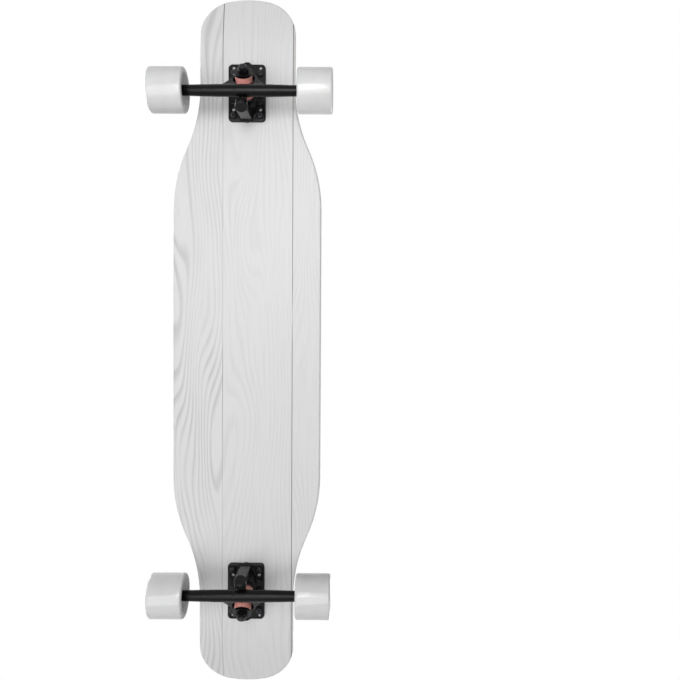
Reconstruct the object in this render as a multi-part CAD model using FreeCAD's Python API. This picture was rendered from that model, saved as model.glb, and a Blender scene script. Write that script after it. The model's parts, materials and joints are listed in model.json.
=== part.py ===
import FreeCAD, Part
import math
import os
from FreeCAD import Placement, Rotation, Vector

# A longboard skateboard: X across, Y along with the nose at -Y, Z up, in millimetres.
# The origin is on the ground under the middle of the deck.

# Deck
deck_length = 1067.0
deck_width = 228.6
end_width = 146.6
deck_thickness = 11.5
tip_radius = 170.0
corner_radius = 56.8
flare_setback = 138.2   # tip to where the narrow end starts to widen
flare_length = 188.0    # from there to the full width
kick_length = 93.5      # tip to where the deck starts to bend up
kick_radius = 250.0
kick_angle = 12.0
rail_radius = 3.0
grip_thickness = 1.0
grip_margin = 3.5

# Truck mounting bolts and lock nuts
truck_setback = 152.5   # tip to the middle of the bolt pattern
bolt_spacing_along = 63.5
bolt_spacing_across = 41.3
bolt_diameter = 4.8
bolt_tail = 1.8         # bolt past its lock nut
bolt_head_diameter = 9.4
bolt_head_sink = 0.2
cross_width = 1.2
cross_span = 5.0
cross_depth = 1.6
lock_nut_flats = 9.5
lock_nut_height = 3.8
lock_nut_collar = 2.2

# Every lock nut and every threaded tip
nut_chamfer_angle = 30.0
nut_collar_step = 0.6   # collar inside the flats
nut_collar_chamfer = 0.7
tip_chamfer = 0.8

# Baseplate, its edges measured from the bolts
plate_side = 7.85
plate_outboard = 14.75
plate_inboard = 8.75
plate_thickness = 6.0
plate_corner = 6.0
plate_edge = 1.6
tongue_diameter = 18.0  # round tongue at the plate's outboard edge
tongue_reach = 3.5      # tongue past that edge
spare_hole_lead = 9.5   # spare holes outboard of the bolts
seat_web = 5.5          # metal between the kingpin's head and the bushing seat
seat_margin = 2.0
leg_width = 17.0
foot_margin = 2.5
rib_thickness = 5.0
rib_reach = 9.0

# Kingpin, its nut and the cup washers
steer_angle = 40.0      # steering axis above the deck's plane
kingpin_diameter = 9.5
kingpin_head_flats = 14.3
kingpin_head_height = 6.0
kingpin_head_cover = 0.8
kingpin_tail = 0.6      # kingpin past its nut
kingpin_nut_height = 6.5
kingpin_nut_collar = 3.0
washer_thickness = 2.0
washer_lip = 1.0
washer_wall = 1.2

# Bushings
bushing_diameter = 25.4
bushing_height = 17.0
bushing_bulge = 0.5

# Hanger and axle
ring_web = 5.0
ring_height = 12.0
ring_rim = 11.0         # ring's rim on the road's side, from the middle of the ring
pocket_flare = 22.0     # pocket inside that rim widens by this angle, to clear the leaning bushing
ring_wall = 6.4
ring_hole = 15.0
hanger_length = 180.0
tube_diameter = 18.0
arm_diameter = 15.4
arm_start = 36.0        # from here the tube narrows to the arm's end
arm_face_length = 3.0
arm_face_diameter = 13.0
yoke_width = 92.0       # yoke where it meets the axle
yoke_rise = 2.7         # yoke's faces past the axle, along the kingpin
yoke_lead = 4.1         # yoke's lower face short of the axle, along the steering axis
axle_setback = 12.6     # axle inboard of the middle of the bolt pattern
axle_reach = 34.6       # axle past the ring, along the steering axis
axle_offset = 12.0      # axle off the steering axis, along the kingpin
axle_diameter = 8.0
axle_tail = 1.0

# Pivot ball and the cup it sits in
pivot_ball_diameter = 9.0
nose_root_diameter = 17.0
cup_wall = 2.2
cup_floor = 1.8
cup_mouth = 4.0         # cup's mouth to the middle of the ball
cup_flange = 1.1
cup_flange_lip = 1.1
socket_wall = 2.4
pivot_clearance = 1.2   # hanger's tube to the cup's flange

# Wheels
wheel_diameter = 65.0
wheel_width = 51.0
wheel_lip = 3.5
bearing_inset = 10.0    # wheel's inner face to the inner bearing
core_diameter = 34.0
core_overhang = 2.0     # core past the bearings
inner_dish_diameter = 50.0
outer_dish_diameter = 54.0
core_shoulder = 1.3

# Ball bearings, bored for the axle
bearing_diameter = 22.0
bearing_width = 7.0
inner_race_diameter = 12.1
outer_race_bore = 18.0
ball_diameter = 3.97
ball_count = 7
cage_thickness = 1.6
cage_overlap = 0.4      # cage past the middle of the balls
shield_thickness = 0.3
shield_sink = 0.25
shield_seat = 0.3
spacer_length = 10.0
spacer_wall = 1.2
speed_washer = 1.0
speed_washer_diameter = 12.0
axle_nut_flats = 13.0
axle_nut_height = 5.0
axle_nut_collar = 2.5

# Clearances
fit = 0.03              # pressed or seated pieces of one body
bolt_clearance = 0.25
pocket_clearance = 0.4  # bushing in the hanger's ring or a washer's lip
ball_clearance = 0.1
race_clearance = 0.075
shield_clearance = 0.2
cage_clearance = 0.4    # cage to the shield beside it

x_axis = Vector(1, 0, 0)
y_axis = Vector(0, 1, 0)
z_axis = Vector(0, 0, 1)
steer = math.radians(steer_angle)

# Kingpin stack, measured along the kingpin from the middle of the hanger's ring
bushing_radius = bushing_diameter / 2
kingpin_radius = kingpin_diameter / 2
head_radius = kingpin_head_flats / math.sqrt(3)
pocket_radius = bushing_radius + pocket_clearance
ring_radius = pocket_radius + ring_wall
seat_level = -(ring_web / 2 + bushing_height + washer_thickness)
head_level = seat_level - seat_web
nut_level = ring_web / 2 + bushing_height + washer_thickness
kingpin_end = nut_level + kingpin_nut_height + kingpin_nut_collar + kingpin_tail
lip_radius = pocket_radius + washer_wall
seat_radius = lip_radius + seat_margin

# Pivot and axle, measured from the ring: along the steering axis, then along the kingpin
tube_radius = tube_diameter / 2
ball_radius = pivot_ball_diameter / 2
cup_radius = ball_radius + ball_clearance + cup_wall
socket_radius = cup_radius + fit + socket_wall
mouth_level = axle_reach + tube_radius + pivot_clearance + cup_flange
pivot_reach = mouth_level + cup_mouth
cup_end = pivot_reach + ball_radius + ball_clearance + cup_floor
socket_end = cup_end + fit + socket_wall

# Where the ring stands in the truck's frame: Y outboard, Z up from the deck's underside
head_depth = kingpin_head_cover + head_radius * math.sin(steer)
ring_depth = head_depth + (kingpin_head_height - head_level) * math.cos(steer)
axle_drop = ring_depth + axle_reach * math.sin(steer) + axle_offset * math.cos(steer)
ring_lead = axle_reach * math.cos(steer) - axle_offset * math.sin(steer) - axle_setback

# Heights, the mounting bolts and the trucks' places on the board
wheel_radius = wheel_diameter / 2
underside = wheel_radius + axle_drop
head_height = deck_thickness + grip_thickness - bolt_head_sink
grip_top = underside + deck_thickness + grip_thickness
bolt_radius = bolt_diameter / 2
bolt_length = head_height + plate_thickness + lock_nut_height + lock_nut_collar + bolt_tail
half_length = deck_length / 2
truck_place = half_length - truck_setback

# The axle, and places along it outwards from the middle of the truck
axle_radius = axle_diameter / 2
axle_hole = axle_radius + fit
hanger_end = hanger_length / 2
inner_bearing = hanger_end + speed_washer
outer_bearing = inner_bearing + bearing_width + spacer_length
bearing_end = outer_bearing + bearing_width
axle_nut_start = bearing_end + speed_washer
axle_end = axle_nut_start + axle_nut_height + axle_nut_collar + axle_tail
wheel_start = inner_bearing - bearing_inset
wheel_end = wheel_start + wheel_width

# The kingpin's frame in the truck: Y runs down the steering axis, Z towards the nut
kingpin_frame = Placement(Vector(0, ring_lead, -ring_depth), Rotation(x_axis, 180 + steer_angle))
# A frame whose Z axis runs down the steering axis
steering_frame = kingpin_frame.multiply(Placement(Vector(), Rotation(x_axis, -90)))
# A frame whose Z axis runs along the axle, outwards on the +X side
axle_frame = kingpin_frame.multiply(Placement(Vector(0, axle_reach, axle_offset), Rotation(y_axis, 90)))


def polygon(points):
    return Part.Face(Part.makePolygon(points + [points[0]]))


def turned(profile):
    # Solid of revolution about Z from (radius, height) points.
    face = polygon([Vector(radius, 0, height) for radius, height in profile])
    return face.revolve(Vector(), z_axis, 360)


def rod(radius, start, end):
    return Part.makeCylinder(radius, end - start, Vector(0, 0, start))


def tube(inner, outer, start, end):
    return turned([(inner, start), (outer, start), (outer, end), (inner, end)])


def hexagon(flats, start, end):
    corner = flats / math.sqrt(3)
    turns = [math.radians(60 * step) for step in range(6)]
    face = polygon([Vector(corner * math.cos(turn), corner * math.sin(turn), start) for turn in turns])
    return face.extrude(Vector(0, 0, end - start))


def placed(shape, placement):
    copy = shape.copy()
    copy.Placement = placement.multiply(copy.Placement)
    return copy


def lock_nut(flats, height, collar, bore):
    # A hexagon with chamfered corners and the round collar that holds the locking ring.
    inside = flats / 2
    wide = 2 * flats / math.sqrt(3) - inside
    drop = (wide - inside) * math.tan(math.radians(nut_chamfer_angle))
    rounding = turned([(0, 0), (inside, 0), (wide, drop), (wide, height - drop), (inside, height),
                       (0, height)])
    body = hexagon(flats, 0, height).common(rounding)
    ring = inside - nut_collar_step
    top = height + collar
    body = body.fuse(turned([(0, height / 2), (ring, height / 2), (ring, top - nut_collar_chamfer),
                             (ring - nut_collar_chamfer, top), (0, top)]))
    return body.cut(rod(bore, -height, 2 * top))


def threaded_end(radius, end):
    # The last points of a bolt's profile: its side, its chamfer and the middle of its tip.
    return [(radius, end - tip_chamfer), (radius - tip_chamfer, end), (0, end)]


# Deck and grip tape


def plan_outline(inset):
    # The deck's outline seen from above: two tips, four corners and four S-shaped flares.
    half = half_length - inset
    wide = deck_width / 2 - inset
    narrow = end_width / 2 - inset
    tip = tip_radius - inset
    corner = corner_radius - inset
    corner_x = end_width / 2 - corner_radius
    tip_y = half_length - tip_radius
    corner_y = tip_y + math.sqrt((tip_radius - corner_radius) ** 2 - corner_x ** 2)
    lean = math.atan2(corner_x, corner_y - tip_y)
    bend = Vector(tip * math.sin(lean), tip_y + tip * math.cos(lean))
    middle = (lean + math.pi / 2) / 2
    round_off = Vector(corner_x + corner * math.sin(middle), corner_y + corner * math.cos(middle))
    side = Vector(narrow, corner_y)
    flare_out = half_length - flare_setback
    flare_in = flare_out - flare_length
    step = (deck_width - end_width) / 2
    turn = 2 * math.atan2(step, flare_length)
    radius = flare_length / 2 / math.sin(turn)
    hollow = radius + inset
    crown = radius - inset
    start = Vector(narrow, flare_out)
    hollow_x = narrow + hollow
    hollow_mid = Vector(hollow_x - hollow * math.cos(turn / 2), flare_out - hollow * math.sin(turn / 2))
    cross = Vector(hollow_x - hollow * math.cos(turn), flare_out - hollow * math.sin(turn))
    crown_mid = Vector(wide - crown + crown * math.cos(turn / 2), flare_in + crown * math.sin(turn / 2))
    full = Vector(wide, flare_in)
    quarter = [Part.Arc(bend, round_off, side), Part.LineSegment(side, start),
               Part.Arc(start, hollow_mid, cross), Part.Arc(cross, crown_mid, full)]
    edges = [item.toShape() for item in quarter]
    edges += [edge.mirror(Vector(), x_axis) for edge in edges]
    edges += [edge.mirror(Vector(), y_axis) for edge in edges]
    for end in (1, -1):
        left = Vector(-bend.x, end * bend.y)
        right = Vector(bend.x, end * bend.y)
        edges.append(Part.Arc(left, Vector(0, end * half), right).toShape())
        edges.append(Part.LineSegment(Vector(end * wide, flare_in), Vector(end * wide, -flare_in)).toShape())
    return Part.Wire(Part.__sortEdges__(edges))


def bent_sheet(lower, upper):
    # The deck's side view between two heights over its underside, as wide as the deck and longer.
    flat = half_length - kick_length
    angle = math.radians(kick_angle)

    def points(height, end):
        radius = kick_radius - height
        middle = underside + kick_radius
        bend = [Vector(0, end * (flat + radius * math.sin(turn)), middle - radius * math.cos(turn))
                for turn in (0, angle / 2, angle)]
        tip = bend[2] + Vector(0, end * kick_length * math.cos(angle), kick_length * math.sin(angle))
        return bend + [tip]

    edges = []
    for height in (lower, upper):
        ends = {}
        for end in (1, -1):
            start, mid, stop, tip = points(height, end)
            edges += [Part.Arc(start, mid, stop).toShape(), Part.LineSegment(stop, tip).toShape()]
            ends[end] = start
        edges.append(Part.LineSegment(ends[1], ends[-1]).toShape())
    for end in (1, -1):
        edges.append(Part.LineSegment(points(lower, end)[3], points(upper, end)[3]).toShape())
    face = Part.Face(Part.Wire(Part.__sortEdges__(edges)))
    sheet = face.extrude(Vector(2 * deck_width, 0, 0))
    sheet.translate(Vector(-deck_width, 0, 0))
    return sheet


def cut_to_outline(sheet, inset):
    block = Part.Face(plan_outline(inset)).extrude(Vector(0, 0, 2 * (grip_top + kick_length)))
    return sheet.common(block)


def bolt_places():
    places = []
    for along in (-1, 1):
        for across in (-1, 1):
            places.append(Vector(across * bolt_spacing_across / 2, along * bolt_spacing_along / 2, 0))
    return places


def bolt_cutter():
    # What a countersunk bolt takes out of the deck and the grip tape, from the level of its head.
    head = bolt_head_diameter / 2 + bolt_clearance
    shank = bolt_radius + bolt_clearance
    above = grip_thickness + bolt_head_sink
    return turned([(0, -bolt_length), (shank, -bolt_length), (shank, shank - head), (head, 0), (head, above),
                   (0, above)])


def deck_holes():
    holes = []
    for end in (1, -1):
        for place in bolt_places():
            hole = bolt_cutter()
            hole.translate(place + Vector(0, end * truck_place, underside + head_height))
            holes.append(hole)
    return holes


def make_deck():
    board = cut_to_outline(bent_sheet(0, deck_thickness), 0)
    rails = []
    for edge in board.Edges:
        sides = [face for face in board.Faces if any(edge.isSame(other) for other in face.Edges)]
        upright = [abs(face.normalAt(*face.Surface.parameter(edge.CenterOfMass)).z) < 0.5 for face in sides]
        if upright.count(True) == 1:
            rails.append(edge)
    board = board.makeFillet(rail_radius, rails)
    return board.cut(deck_holes())


def make_grip_tape():
    sheet = cut_to_outline(bent_sheet(deck_thickness, deck_thickness + grip_thickness), grip_margin)
    return sheet.cut(deck_holes())


def make_deck_bolts():
    # Drawn head down, as the lock nuts are, and turned over.
    head = bolt_head_diameter / 2
    cone = [(0, 0), (head, 0), (bolt_radius, head - bolt_radius)]
    bolt = turned(cone + threaded_end(bolt_radius, bolt_length))
    for width, span in ((cross_span, cross_width), (cross_width, cross_span)):
        slot = Part.makeBox(width, span, 2 * cross_depth, Vector(-width / 2, -span / 2, -cross_depth))
        bolt = bolt.cut(slot)
    flip = Rotation(x_axis, 180)
    return [placed(bolt, Placement(place + Vector(0, 0, head_height), flip)) for place in bolt_places()]


def make_deck_nuts():
    nut = lock_nut(lock_nut_flats, lock_nut_height, lock_nut_collar, bolt_radius + fit)
    flip = Rotation(x_axis, 180)
    return [placed(nut, Placement(place - Vector(0, 0, plate_thickness), flip)) for place in bolt_places()]


# Baseplate side of a truck, in the truck's frame


def in_truck(along, out):
    # A point given along the steering axis and along the kingpin, in the truck's frame.
    return kingpin_frame.multVec(Vector(0, along, out))


def rounded_rim(plate):
    # A plate with the edge of its lower face rounded.
    rim = [edge for edge in plate.Edges if edge.BoundBox.ZMax < -plate_thickness / 2]
    return plate.makeFillet(plate_edge, rim)


def make_baseplate():
    inboard = bolt_spacing_along / 2 + plate_inboard
    outboard = bolt_spacing_along / 2 + plate_outboard
    width = bolt_spacing_across + 2 * plate_side
    length = inboard + outboard
    plate = Part.makeBox(width, length, plate_thickness, Vector(-width / 2, -inboard, -plate_thickness))
    corners = [edge for edge in plate.Edges if edge.BoundBox.ZLength > plate_thickness / 2]
    plate = rounded_rim(plate.makeFillet(plate_corner, corners))
    tongue_radius = tongue_diameter / 2
    tongue_middle = Vector(0, outboard + tongue_reach - tongue_radius, -plate_thickness)
    tongue = rounded_rim(Part.makeCylinder(tongue_radius, plate_thickness, tongue_middle))
    far = 4 * (ring_depth + seat_radius)
    boss = placed(rod(seat_radius, -far, seat_level), kingpin_frame)
    socket = placed(rod(socket_radius, mouth_level, socket_end), steering_frame)
    far_rim = [edge for edge in socket.Edges if edge.CenterOfMass.z < in_truck(pivot_reach, 0).z
               and len(edge.Vertexes) == 1]
    socket = socket.makeFillet(socket_wall, far_rim)
    inner_foot = in_truck(0, seat_level - seat_web / 2)
    outline = [in_truck(cup_end, -cup_radius), in_truck(cup_end, 0), in_truck(mouth_level, 0),
               in_truck(mouth_level, -socket_radius), in_truck(seat_radius, seat_level), inner_foot,
               Vector(0, inner_foot.y, -plate_thickness / 2),
               Vector(0, foot_margin - inboard, -plate_thickness / 2)]
    leg = polygon(outline).extrude(Vector(leg_width, 0, 0))
    leg.translate(Vector(-leg_width / 2, 0, 0))
    seat = in_truck(0, seat_level)
    half_rib = seat_radius + rib_reach
    inside_plate = -plate_thickness / 2
    rib = polygon([Vector(-half_rib, seat.y, inside_plate), Vector(half_rib, seat.y, inside_plate),
                   Vector(half_rib, seat.y, -plate_thickness), Vector(0, seat.y, seat.z),
                   Vector(-half_rib, seat.y, -plate_thickness)])
    rib = rib.extrude(Vector(0, -rib_thickness, 0))
    body = plate.fuse([tongue, boss, socket, leg, rib])
    cutters = [Part.makeBox(2 * far, 2 * far, 2 * far, Vector(-far, -far, 0))]
    cutters.append(placed(rod(kingpin_radius + fit, -far, far), kingpin_frame))
    cutters.append(placed(hexagon(kingpin_head_flats + 2 * fit, -far, head_level), kingpin_frame))
    cutters.append(placed(rod(cup_radius + fit, mouth_level - socket_wall, cup_end + fit), steering_frame))
    cutters.append(placed(rod(lip_radius + pocket_clearance, seat_level, far), kingpin_frame))
    for place in bolt_places():
        for lead in (0, spare_hole_lead):
            start = place + Vector(0, lead, -far)
            cutters.append(Part.makeCylinder(bolt_radius + bolt_clearance, 2 * far, start))
    return body.cut(cutters).removeSplitter()


def nose_radius(along, gap):
    # The hanger's pivot nose narrows evenly from the ring to the ball.
    share = (along - pocket_radius) / (pivot_reach - pocket_radius)
    root = nose_root_diameter / 2
    return root + (ball_radius - root) * share + gap


def make_pivot_cup():
    start = mouth_level - cup_flange
    body = rod(cup_radius, mouth_level, cup_end).fuse(rod(cup_radius + cup_flange_lip, start, mouth_level))
    ahead = start - cup_flange
    hollow = turned([(0, ahead), (nose_radius(ahead, ball_clearance), ahead),
                     (nose_radius(pivot_reach, ball_clearance), pivot_reach), (0, pivot_reach)])
    ball = Part.makeSphere(ball_radius + ball_clearance, Vector(0, 0, pivot_reach))
    return placed(body.cut([hollow, ball]), steering_frame)


def make_kingpin():
    head = hexagon(kingpin_head_flats, head_level - kingpin_head_height, head_level)
    middle = head_level - kingpin_head_height / 2
    shank = turned([(0, middle), (kingpin_radius, middle)] + threaded_end(kingpin_radius, kingpin_end))
    return placed(head.fuse(shank).removeSplitter(), kingpin_frame)


def cup_washer():
    # A flat washer with a lip round the end of the bushing, lying on height 0.
    hole = kingpin_radius + fit
    return turned([(hole, 0), (lip_radius, 0), (lip_radius, washer_thickness + washer_lip),
                   (pocket_radius, washer_thickness + washer_lip), (pocket_radius, washer_thickness),
                   (hole, washer_thickness)])


def make_boardside_washer():
    place = Placement(Vector(0, 0, seat_level), Rotation())
    return placed(cup_washer(), kingpin_frame.multiply(place))


def make_roadside_washer():
    place = Placement(Vector(0, 0, nut_level), Rotation(x_axis, 180))
    return placed(cup_washer(), kingpin_frame.multiply(place))


def make_bushing(start):
    # A barrel with a slightly bulging side between the ring and a washer.
    hole = kingpin_radius + bolt_clearance
    end = start + bushing_height
    rim = bushing_radius - bushing_bulge
    middle = start + bushing_height / 2
    side = Part.Arc(Vector(rim, 0, start), Vector(bushing_radius, 0, middle), Vector(rim, 0, end)).toShape()
    path = Part.makePolygon([Vector(rim, 0, end), Vector(hole, 0, end), Vector(hole, 0, start),
                             Vector(rim, 0, start)])
    face = Part.Face(Part.Wire([side] + path.Edges))
    return placed(face.revolve(Vector(), z_axis, 360), kingpin_frame)


def make_boardside_bushing():
    return make_bushing(seat_level + washer_thickness)


def make_roadside_bushing():
    return make_bushing(ring_web / 2)


def make_kingpin_nut():
    nut = lock_nut(kingpin_head_flats, kingpin_nut_height, kingpin_nut_collar, kingpin_radius + fit)
    return placed(nut, kingpin_frame.multiply(Placement(Vector(0, 0, nut_level), Rotation())))


# Hanger side of a truck, in the truck's frame


def make_hanger():
    ring = placed(rod(ring_radius, -ring_height / 2, ring_rim), kingpin_frame)
    arm = arm_diameter / 2
    face = arm_face_diameter / 2
    shoulder = hanger_end - arm_face_length
    outer = [(tube_radius, arm_start), (arm, shoulder), (face, shoulder), (face, hanger_end), (0, hanger_end)]
    inner = [(radius, -height) for radius, height in reversed(outer)]
    bar = placed(turned(inner + outer), axle_frame)
    side = polygon([Vector(0, pocket_radius, -ring_height / 2),
                    Vector(0, axle_reach, axle_offset - yoke_rise), Vector(0, axle_reach, axle_offset),
                    Vector(0, axle_reach - yoke_lead, axle_offset + yoke_rise),
                    Vector(0, pocket_radius, ring_rim), Vector(0, 0, ring_rim),
                    Vector(0, 0, -ring_height / 2)])
    side = side.extrude(Vector(2 * yoke_width, 0, 0))
    side.translate(Vector(-yoke_width, 0, 0))
    half = yoke_width / 2
    plan = polygon([Vector(-ring_radius, 0, 0), Vector(ring_radius, 0, 0), Vector(half, axle_reach, 0),
                    Vector(-half, axle_reach, 0)])
    plan = plan.extrude(Vector(0, 0, 2 * axle_offset + ring_height))
    plan.translate(Vector(0, 0, -ring_height))
    yoke = placed(side.common(plan), kingpin_frame)
    nose = turned([(0, 0), (nose_radius(0, 0), 0), (nose_radius(pivot_reach, 0), pivot_reach),
                   (0, pivot_reach)])
    ball = Part.makeSphere(ball_radius, Vector(0, 0, pivot_reach))
    nose = placed(nose.fuse(ball), steering_frame)
    body = ring.fuse([bar, yoke, nose])
    reach = 2 * nut_level
    floor = ring_web / 2
    mouth = pocket_radius + (reach - floor) * math.tan(math.radians(pocket_flare))
    pockets = [turned([(0, floor), (pocket_radius, floor), (mouth, reach), (0, reach)]),
               rod(pocket_radius, -reach, -floor)]
    cutters = [placed(pocket, kingpin_frame) for pocket in pockets]
    cutters.append(placed(rod(ring_hole / 2, -reach, reach), kingpin_frame))
    cutters.append(placed(rod(axle_hole, -axle_end, axle_end), axle_frame))
    return body.cut(cutters).removeSplitter()


def make_axle():
    outer = threaded_end(axle_radius, axle_end)
    inner = [(radius, -height) for radius, height in reversed(outer)]
    return placed(turned(inner + outer), axle_frame)


def both_sides(shape):
    other = axle_frame.multiply(Placement(Vector(), Rotation(y_axis, 180)))
    return [placed(shape, axle_frame), placed(shape, other)]


def make_speed_washers():
    washers = []
    for start in (hanger_end, bearing_end):
        washers += both_sides(tube(axle_hole, speed_washer_diameter / 2, start, start + speed_washer))
    return washers


def make_axle_nuts():
    nut = lock_nut(axle_nut_flats, axle_nut_height, axle_nut_collar, axle_hole)
    nut.translate(Vector(0, 0, axle_nut_start))
    return both_sides(nut)


# A wheel with its bearings, along the axle, whose Z axis points outwards


core_start = inner_bearing - core_overhang
core_end = bearing_end + core_overhang


def make_wheel():
    core = core_diameter / 2 + fit
    wheel = turned([(core, core_start), (inner_dish_diameter / 2, wheel_start), (wheel_radius, wheel_start),
                    (wheel_radius, wheel_end), (outer_dish_diameter / 2, wheel_end), (core, core_end)])
    lips = [edge for edge in wheel.Edges if abs(edge.BoundBox.XMax - wheel_radius) < fit
            and len(edge.Vertexes) == 1]
    return [wheel.makeFillet(wheel_lip, lips)]


def make_core():
    seat = bearing_diameter / 2 + fit
    inner_stop = inner_bearing + bearing_width
    shoulder = bearing_diameter / 2 - core_shoulder
    outer = core_diameter / 2
    return [turned([(seat, core_start), (outer, core_start), (outer, core_end), (seat, core_end),
                    (seat, outer_bearing), (shoulder, outer_bearing), (shoulder, inner_stop),
                    (seat, inner_stop)])]


def each_bearing(make):
    shapes = []
    for start in (inner_bearing, outer_bearing):
        for shape in make():
            shapes.append(placed(shape, Placement(Vector(0, 0, start + bearing_width / 2), Rotation())))
    return shapes


pitch_radius = (inner_race_diameter + outer_race_bore) / 4
groove_radius = ball_diameter / 2 + race_clearance


def race_groove():
    return Part.makeTorus(pitch_radius, groove_radius)


def outer_race():
    bore = outer_race_bore / 2
    step = bore + shield_seat
    half = bearing_width / 2
    deep = half - shield_sink - shield_thickness
    ring = turned([(step, -half), (bearing_diameter / 2, -half), (bearing_diameter / 2, half), (step, half),
                   (step, deep), (bore, deep), (bore, -deep), (step, -deep)])
    return [ring.cut(race_groove())]


def inner_race():
    half = bearing_width / 2
    return [tube(axle_hole, inner_race_diameter / 2, -half, half).cut(race_groove())]


def ball_and_cage():
    balls = []
    pockets = []
    for step in range(ball_count):
        turn = 2 * math.pi * step / ball_count
        centre = Vector(pitch_radius * math.cos(turn), pitch_radius * math.sin(turn), 0)
        balls.append(Part.makeSphere(ball_diameter / 2, centre))
        pockets.append(Part.makeSphere(groove_radius, centre))
    back = shield_sink + shield_thickness + cage_clearance - bearing_width / 2
    ring = tube(pitch_radius - cage_thickness / 2, pitch_radius + cage_thickness / 2, back, cage_overlap)
    return balls + [ring.cut(pockets)]


def shields():
    inner = inner_race_diameter / 2 + shield_clearance
    outer = outer_race_bore / 2 + shield_seat - fit
    outside = bearing_width / 2 - shield_sink
    inside = outside - shield_thickness
    return [tube(inner, outer, inside, outside), tube(inner, outer, -outside, -inside)]


def make_spacer():
    return [tube(axle_hole, axle_hole + spacer_wall, inner_bearing + bearing_width, outer_bearing)]


def export(name, shapes):
    group = shapes[0] if len(shapes) == 1 else Part.makeCompound(shapes)
    group.exportStep("parts/" + name + ".step")


os.makedirs("parts", exist_ok=True)

export("deck", [make_deck()])
export("grip_tape", [make_grip_tape()])

truck_pieces = {
    "deck_bolts": make_deck_bolts(),
    "deck_nuts": make_deck_nuts(),
    "baseplate": [make_baseplate()],
    "pivot_cup": [make_pivot_cup()],
    "kingpin": [make_kingpin()],
    "boardside_washer": [make_boardside_washer()],
    "boardside_bushing": [make_boardside_bushing()],
    "roadside_bushing": [make_roadside_bushing()],
    "roadside_washer": [make_roadside_washer()],
    "kingpin_nut": [make_kingpin_nut()],
    "hanger": [make_hanger()],
    "axle": [make_axle()],
    "speed_washers": make_speed_washers(),
    "axle_nuts": make_axle_nuts(),
}

wheel_pieces = {
    "wheel": make_wheel(),
    "wheel_core": make_core(),
    "bearing_outer_races": each_bearing(outer_race),
    "bearing_inner_races": each_bearing(inner_race),
    "bearing_balls": each_bearing(ball_and_cage),
    "bearing_shields": each_bearing(shields),
    "bearing_spacer": make_spacer(),
}

# The rear truck stands as it was drawn, and the front one is turned round.
truck_frames = {
    "front": Placement(Vector(0, -truck_place, underside), Rotation(z_axis, 180)),
    "rear": Placement(Vector(0, truck_place, underside), Rotation()),
}

for end, truck_frame in truck_frames.items():
    for name, shapes in truck_pieces.items():
        export(end + "_" + name, [placed(shape, truck_frame) for shape in shapes])
    for turn in (0, 180):
        side_frame = truck_frame.multiply(axle_frame).multiply(Placement(Vector(), Rotation(y_axis, turn)))
        side = "left" if side_frame.multVec(z_axis).x > 0 else "right"
        for name, shapes in wheel_pieces.items():
            export(end + "_" + side + "_" + name, [placed(shape, side_frame) for shape in shapes])

print("axle drop", round(axle_drop, 2), "ring lead", round(ring_lead, 2), "ring depth", round(ring_depth, 2))
print("underside", round(underside, 2), "grip top", round(grip_top, 2))
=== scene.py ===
import bmesh
import bpy
import json
import math
from mathutils import Matrix, Vector


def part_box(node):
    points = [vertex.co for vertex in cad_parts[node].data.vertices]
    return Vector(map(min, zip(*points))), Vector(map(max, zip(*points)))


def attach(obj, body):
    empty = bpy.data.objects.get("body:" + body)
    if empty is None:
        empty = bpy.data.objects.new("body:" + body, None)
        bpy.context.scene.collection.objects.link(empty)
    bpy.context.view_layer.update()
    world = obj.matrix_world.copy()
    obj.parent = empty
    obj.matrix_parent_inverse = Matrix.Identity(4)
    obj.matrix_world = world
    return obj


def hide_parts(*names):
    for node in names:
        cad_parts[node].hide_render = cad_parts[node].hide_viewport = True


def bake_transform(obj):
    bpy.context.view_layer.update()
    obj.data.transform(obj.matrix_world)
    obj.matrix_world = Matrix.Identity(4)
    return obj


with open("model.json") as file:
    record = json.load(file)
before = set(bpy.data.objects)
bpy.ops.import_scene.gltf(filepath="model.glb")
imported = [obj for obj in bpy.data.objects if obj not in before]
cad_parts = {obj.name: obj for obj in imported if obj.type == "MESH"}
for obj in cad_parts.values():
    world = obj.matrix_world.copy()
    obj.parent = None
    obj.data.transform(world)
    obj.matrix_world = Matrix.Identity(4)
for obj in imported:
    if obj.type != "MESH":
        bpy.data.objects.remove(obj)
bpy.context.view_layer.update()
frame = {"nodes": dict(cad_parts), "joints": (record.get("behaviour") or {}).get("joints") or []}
nodes = frame["nodes"]
joints = {joint["name"]: joint for joint in frame["joints"]}
scene = bpy.context.scene
mm = 0.001
ends = ("front", "rear")
sides = ("left", "right")
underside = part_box("front_baseplate")[1].z / mm   # the deck's flat underside


# small tools

def linear(code):
    # sRGB hex to the linear colour that a socket takes
    parts = [int(code[i:i + 2], 16) / 255 for i in (1, 3, 5)]
    return [c / 12.92 if c <= 0.04045 else ((c + 0.055) / 1.055) ** 2.4 for c in parts] + [1.0]


def add(tree, kind, inputs=None, **settings):
    # one node with its settings; an input is a value or another node's output
    node = tree.nodes.new("ShaderNode" + kind)
    for name, value in settings.items():
        setattr(node, name, value)
    for socket, value in (inputs or {}).items():
        if isinstance(value, bpy.types.NodeSocket):
            tree.links.new(value, node.inputs[socket])
        else:
            node.inputs[socket].default_value = value
    return node


def newMaterial(name, sockets):
    material = bpy.data.materials.new(name)
    material.use_nodes = True
    tree = material.node_tree
    shader = tree.nodes["Principled BSDF"]
    for socket, value in sockets.items():
        shader.inputs[socket].default_value = value
    place = add(tree, "TexCoord").outputs["Object"]
    return material, tree, shader, place


def rampColors(node, stops):
    # stops are (position, hex) pairs
    stops = list(stops)
    ramp = node.color_ramp
    while len(ramp.elements) < len(stops):
        ramp.elements.new(0.5)
    for element, (position, code) in zip(ramp.elements, stops):
        element.position = position
        element.color = linear(code)
    return node.outputs["Color"]


latheSet = {"merge": 0.001, "touch": 0.01, "small": 1.5, "segments": (3, 6)}


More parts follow.
